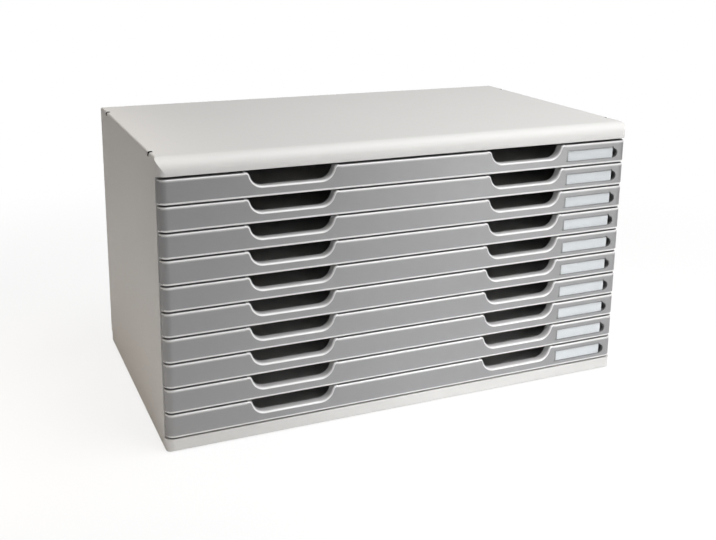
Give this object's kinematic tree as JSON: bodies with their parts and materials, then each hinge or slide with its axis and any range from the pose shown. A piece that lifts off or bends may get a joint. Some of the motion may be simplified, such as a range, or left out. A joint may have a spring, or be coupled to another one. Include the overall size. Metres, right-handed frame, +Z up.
{
  "type": "desktop drawer unit",
  "caption": "Low wide desktop drawer unit: round-nosed lid, side panels and base hold a stack of full-width sliding drawers with finger recesses and label windows.",
  "frame": {"origin": "on the table, under the middle of the casing", "axes": "+X to the right along the drawers, the drawer fronts face -Y, +Z up"},
  "size_m": [0.576, 0.33, 0.32],
  "materials": {
    "casing": "fine-grained light warm grey",
    "drawer_front": "satin mid grey",
    "drawer_tray": "plain mid grey",
    "label_card": "uncoated white card",
    "label_window": "clear plastic strip",
    "foot": "matt black"
  },
  "bodies": {
    "cabinet": {"lid": "casing", "base": "casing", "left_side": "casing", "right_side": "casing", "back_panel": "casing", "foot_front_left": "foot", "foot_front_right": "foot", "foot_rear_left": "foot", "foot_rear_right": "foot"},
    "drawer_1": {"drawer_front_1": "drawer_front", "drawer_tray_1": "drawer_tray", "label_card_1": "label_card", "label_window_1": "label_window"},
    "drawer_2": {"drawer_front_2": "drawer_front", "drawer_tray_2": "drawer_tray", "label_card_2": "label_card", "label_window_2": "label_window"},
    "drawer_3": {"drawer_front_3": "drawer_front", "drawer_tray_3": "drawer_tray", "label_card_3": "label_card", "label_window_3": "label_window"},
    "drawer_4": {"drawer_front_4": "drawer_front", "drawer_tray_4": "drawer_tray", "label_card_4": "label_card", "label_window_4": "label_window"},
    "drawer_5": {"drawer_front_5": "drawer_front", "drawer_tray_5": "drawer_tray", "label_card_5": "label_card", "label_window_5": "label_window"},
    "drawer_6": {"drawer_front_6": "drawer_front", "drawer_tray_6": "drawer_tray", "label_card_6": "label_card", "label_window_6": "label_window"},
    "drawer_7": {"drawer_front_7": "drawer_front", "drawer_tray_7": "drawer_tray", "label_card_7": "label_card", "label_window_7": "label_window"},
    "drawer_8": {"drawer_front_8": "drawer_front", "drawer_tray_8": "drawer_tray", "label_card_8": "label_card", "label_window_8": "label_window"},
    "drawer_9": {"drawer_front_9": "drawer_front", "drawer_tray_9": "drawer_tray", "label_card_9": "label_card", "label_window_9": "label_window"},
    "drawer_10": {"drawer_front_10": "drawer_front", "drawer_tray_10": "drawer_tray", "label_card_10": "label_card", "label_window_10": "label_window"}
  },
  "joints": [
    {"name": "drawer_1_slide", "type": "slide", "parent": "cabinet", "child": "drawer_1", "axis": [0, -1, 0], "range_m": [0, 0.24]},
    {"name": "drawer_2_slide", "type": "slide", "parent": "cabinet", "child": "drawer_2", "axis": [0, -1, 0], "range_m": [0, 0.24]},
    {"name": "drawer_3_slide", "type": "slide", "parent": "cabinet", "child": "drawer_3", "axis": [0, -1, 0], "range_m": [0, 0.24]},
    {"name": "drawer_4_slide", "type": "slide", "parent": "cabinet", "child": "drawer_4", "axis": [0, -1, 0], "range_m": [0, 0.24]},
    {"name": "drawer_5_slide", "type": "slide", "parent": "cabinet", "child": "drawer_5", "axis": [0, -1, 0], "range_m": [0, 0.24]},
    {"name": "drawer_6_slide", "type": "slide", "parent": "cabinet", "child": "drawer_6", "axis": [0, -1, 0], "range_m": [0, 0.24]},
    {"name": "drawer_7_slide", "type": "slide", "parent": "cabinet", "child": "drawer_7", "axis": [0, -1, 0], "range_m": [0, 0.24]},
    {"name": "drawer_8_slide", "type": "slide", "parent": "cabinet", "child": "drawer_8", "axis": [0, -1, 0], "range_m": [0, 0.24]},
    {"name": "drawer_9_slide", "type": "slide", "parent": "cabinet", "child": "drawer_9", "axis": [0, -1, 0], "range_m": [0, 0.24]},
    {"name": "drawer_10_slide", "type": "slide", "parent": "cabinet", "child": "drawer_10", "axis": [0, -1, 0], "range_m": [0, 0.24]}
  ]
}
